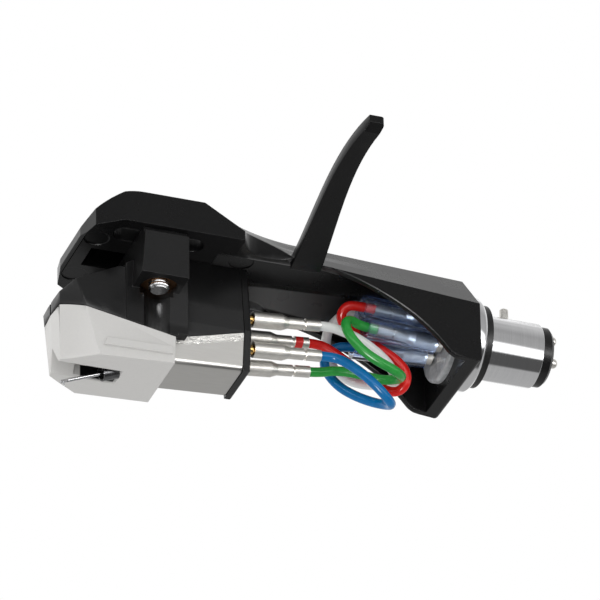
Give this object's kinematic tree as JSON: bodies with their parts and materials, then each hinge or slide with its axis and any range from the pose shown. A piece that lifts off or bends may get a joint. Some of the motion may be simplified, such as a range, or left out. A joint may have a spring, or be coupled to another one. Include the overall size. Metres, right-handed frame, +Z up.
{
  "type": "turntable cartridge in a plug-in headshell",
  "caption": "Moving-magnet turntable cartridge bolted under a slotted headshell with a finger lift, a plug-in bayonet and coloured lead wires.",
  "frame": {"origin": "on the bayonet axis, at the rear face of the gasket that meets the tonearm", "axes": "+X rearwards along the bayonet axis towards the tonearm, +Y to the side away from the finger lift, +Z up, away from the record"},
  "size_m": [0.0646, 0.0369, 0.0276],
  "materials": {
    "shell_paint": "black satin paint, lightly textured",
    "bayonet_metal": "turned and polished",
    "gasket_rubber": "matte",
    "steel": "plain",
    "black_plastic": "moulded, satin",
    "disc_plastic": "moulded, matte grey",
    "shield_metal": "brushed nickel plate",
    "holder_plastic": "moulded, satin white",
    "pin_metal": "gold plated",
    "cantilever_metal": "drawn tube",
    "tip_stone": "polished",
    "screw_metal": "turned",
    "insert_metal": "turned",
    "coil_wire": "enamelled wire",
    "clip_metal": "bright nickel plate",
    "sleeve_plastic": "clear, tinted",
    "wire_white": "insulation, satin",
    "wire_red": "insulation, satin",
    "wire_green": "insulation, satin",
    "wire_blue": "insulation, satin"
  },
  "bodies": {
    "headshell": {"headshell": "shell_paint", "bayonet_barrel": "bayonet_metal", "gasket": "gasket_rubber", "locking_pin": "steel", "contact_insulator": "black_plastic", "terminal_disc": "disc_plastic", "contact_pin_white": "clip_metal", "contact_pin_red": "clip_metal", "contact_pin_green": "clip_metal", "contact_pin_blue": "clip_metal", "rear_clip_white": "clip_metal", "rear_clip_red": "clip_metal", "rear_clip_green": "clip_metal", "rear_clip_blue": "clip_metal", "sleeve_white": "sleeve_plastic", "sleeve_red": "sleeve_plastic", "sleeve_green": "sleeve_plastic", "sleeve_blue": "sleeve_plastic", "lead_white": "wire_white", "lead_red": "wire_red", "lead_green": "wire_green", "lead_blue": "wire_blue"},
    "cartridge": {"cartridge_housing": "black_plastic", "shield_case": "shield_metal", "terminal_plate": "black_plastic", "channel_screen": "steel", "terminal_pin_white": "pin_metal", "terminal_pin_red": "pin_metal", "terminal_pin_green": "pin_metal", "terminal_pin_blue": "pin_metal", "front_clip_white": "clip_metal", "front_clip_red": "clip_metal", "front_clip_green": "clip_metal", "front_clip_blue": "clip_metal", "mounting_screw_right": "screw_metal", "mounting_screw_left": "screw_metal", "washer_right": "steel", "washer_left": "steel", "threaded_insert_right": "insert_metal", "threaded_insert_left": "insert_metal", "coil_right": "coil_wire", "coil_left": "coil_wire", "pole_core_right": "steel", "pole_core_left": "steel"},
    "stylus": {"stylus_holder": "holder_plastic", "stylus_plug": "black_plastic", "suspension_tube": "pin_metal", "tension_wire": "steel"},
    "damper": {"damper": "gasket_rubber"},
    "cantilever": {"cantilever": "cantilever_metal", "stylus_tip": "tip_stone", "magnet_right": "steel", "magnet_left": "steel"}
  },
  "joints": [
    {"name": "overhang", "type": "slide", "parent": "headshell", "child": "cartridge", "axis": [1, 0, 0], "range_m": [-0.004, 0.004], "deforming": ["lead_white", "lead_red", "lead_green", "lead_blue"]},
    {"name": "stylus_pull", "type": "slide", "parent": "cartridge", "child": "stylus", "axis": [-1, 0, 0], "range_m": [0, 0.012]},
    {"name": "stylus_lateral", "type": "hinge", "parent": "stylus", "child": "damper", "pos_m": [-0.0482, 0, -0.01244], "axis": [0, 0, 1], "range_deg": [-4, 4], "stiffness_Nm_per_rad": 0.003},
    {"name": "stylus_vertical", "type": "hinge", "parent": "damper", "child": "cantilever", "pos_m": [-0.0482, 0, -0.01244], "axis": [0, 1, 0], "range_deg": [-1.5, 5], "stiffness_Nm_per_rad": 0.003}
  ]
}
